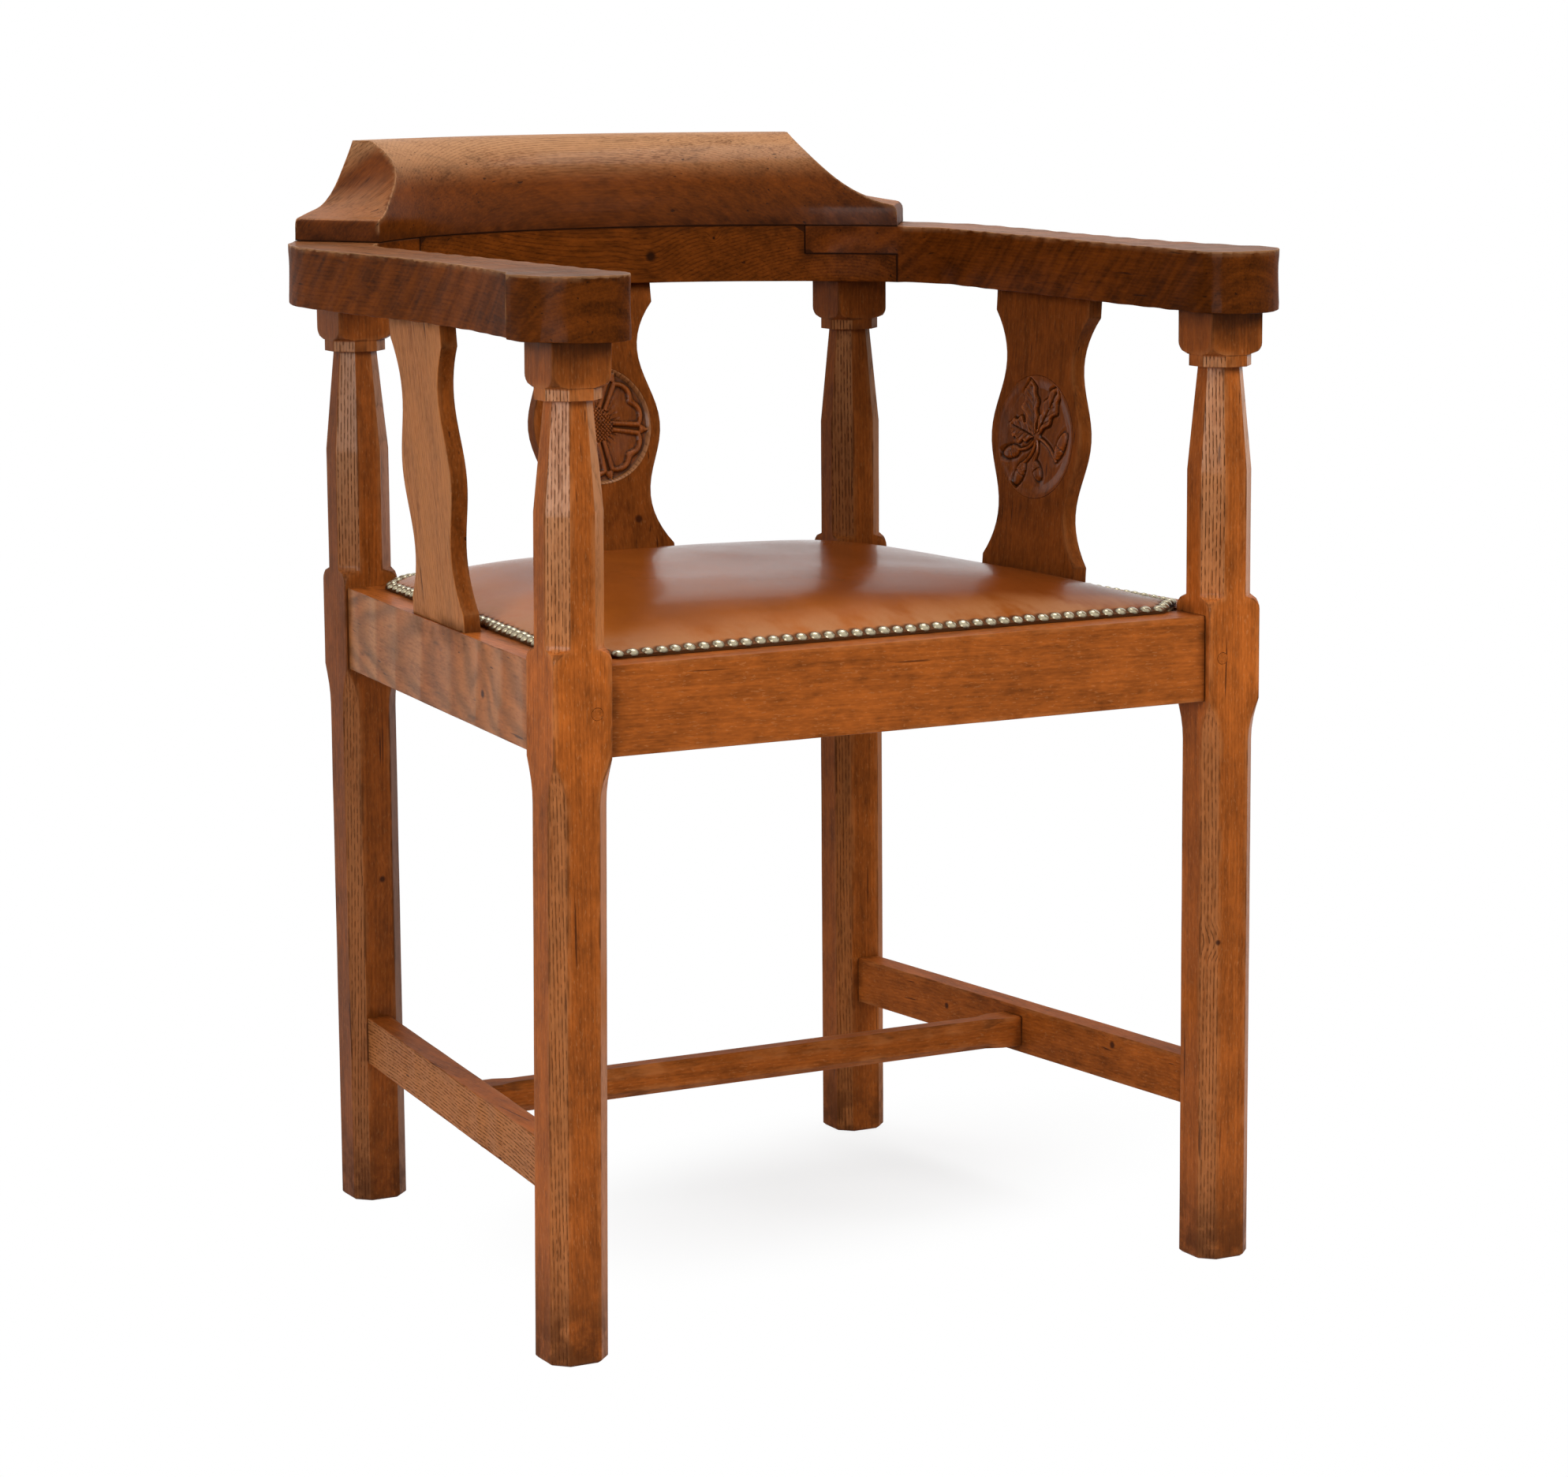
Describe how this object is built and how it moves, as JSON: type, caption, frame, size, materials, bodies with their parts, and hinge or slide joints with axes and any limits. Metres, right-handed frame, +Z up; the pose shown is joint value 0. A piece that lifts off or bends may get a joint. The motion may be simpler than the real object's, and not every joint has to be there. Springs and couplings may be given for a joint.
{
  "type": "monks chair",
  "caption": "Joined oak armchair with a horseshoe arm, shaped crest, carved splats, octagonal posts and a close-nailed leather seat.",
  "frame": {"origin": "floor under the middle of the chair's box", "axes": "+Z up, -Y the way the sitter faces, +X to the right in a view from the front"},
  "size_m": [0.574, 0.599, 0.7808],
  "materials": {
    "oak": "oiled and waxed oak, satin, with open pores",
    "dark_oak": "darker hand-worn oak, waxed",
    "leather": "tan hide, soft polish, darker in the middle",
    "stuffing": "hair stuffing",
    "webbing": "woven jute",
    "brass": "antique brass dome nails"
  },
  "bodies": {
    "root": {"front_left_post": "oak", "front_right_post": "oak", "back_left_post": "oak", "back_right_post": "oak", "front_seat_rail": "oak", "back_seat_rail": "oak", "left_seat_rail": "oak", "right_seat_rail": "oak", "left_stretcher": "oak", "right_stretcher": "oak", "cross_stretcher": "oak", "back_splat": "oak", "left_splat": "oak", "right_splat": "oak", "left_arm": "dark_oak", "right_arm": "dark_oak", "back_arm_rail": "dark_oak", "crest_rail": "dark_oak", "front_left_peg": "oak", "front_right_peg": "oak", "back_left_peg": "oak", "back_right_peg": "oak", "left_lap_dowel_fore": "oak", "left_lap_dowel_rear": "oak", "right_lap_dowel_fore": "oak", "right_lap_dowel_rear": "oak", "left_crest_dowel": "oak", "right_crest_dowel": "oak", "seat_leather": "leather", "seat_pad": "stuffing", "long_webbing_1": "webbing", "long_webbing_2": "webbing", "long_webbing_3": "webbing", "cross_webbing_1": "webbing", "cross_webbing_2": "webbing", "cross_webbing_3": "webbing"}
  },
  "joints": []
}
